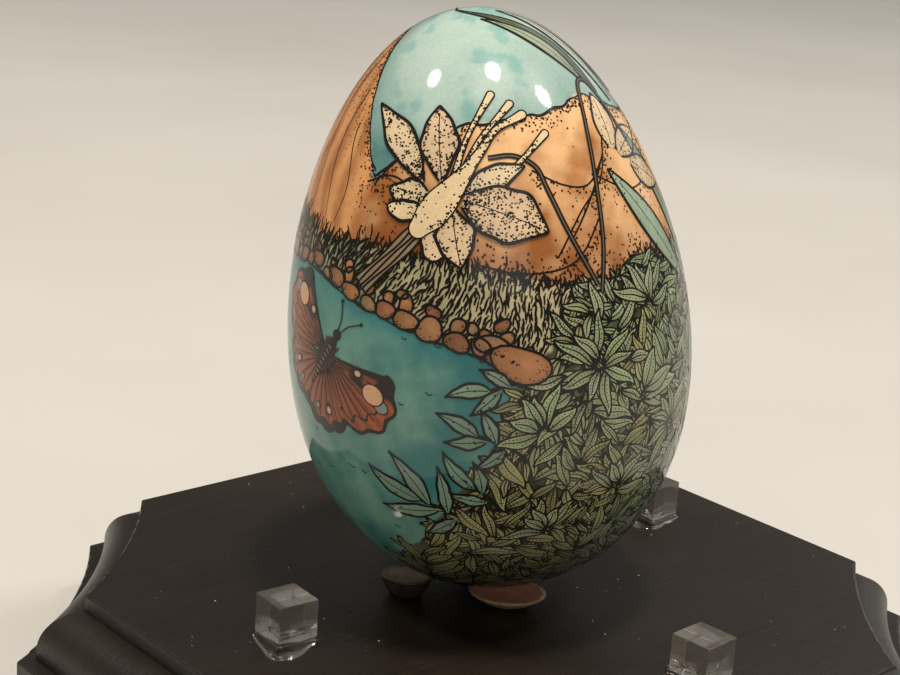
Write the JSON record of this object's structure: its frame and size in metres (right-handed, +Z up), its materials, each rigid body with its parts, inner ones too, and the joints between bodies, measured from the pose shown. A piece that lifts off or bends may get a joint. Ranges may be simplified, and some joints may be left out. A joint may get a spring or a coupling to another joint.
{
  "type": "decorated egg on display board",
  "caption": "Painted, varnished goose egg standing on small dish feet on a black routed wooden display board with clear locating cubes for a round cover.",
  "frame": {"origin": "centre of the board's underside", "axes": "+Z up; +X and +Y square to the board's sides; the painted scene faces the corner between -X and -Y"},
  "size_m": [0.127, 0.127, 0.106],
  "materials": {
    "board_paint": "satin black paint over routed wood",
    "egg_glaze": "watercolour and ink under gloss varnish",
    "filler": "smooth filler",
    "foot_pink": "polished shell",
    "foot_pale": "polished shell",
    "foot_tan": "polished shell",
    "clear_acrylic": "polished clear acrylic",
    "clear_glue": "clear dried glue"
  },
  "bodies": {
    "stand": {"base_board": "board_paint", "foot_front": "foot_pink", "foot_left": "foot_pale", "foot_back": "foot_tan", "cube_w": "clear_acrylic", "cube_s": "clear_acrylic", "cube_e": "clear_acrylic", "cube_n": "clear_acrylic", "bead_w": "clear_glue", "bead_s": "clear_glue", "bead_e": "clear_glue", "bead_n": "clear_glue"},
    "egg": {"egg_shell": "egg_glaze", "blow_hole_plug": "filler"}
  },
  "joints": [
    {"name": "egg_lift", "type": "slide", "parent": "stand", "child": "egg", "axis": [0, 0, 1], "range_m": [0, 0.12]}
  ]
}
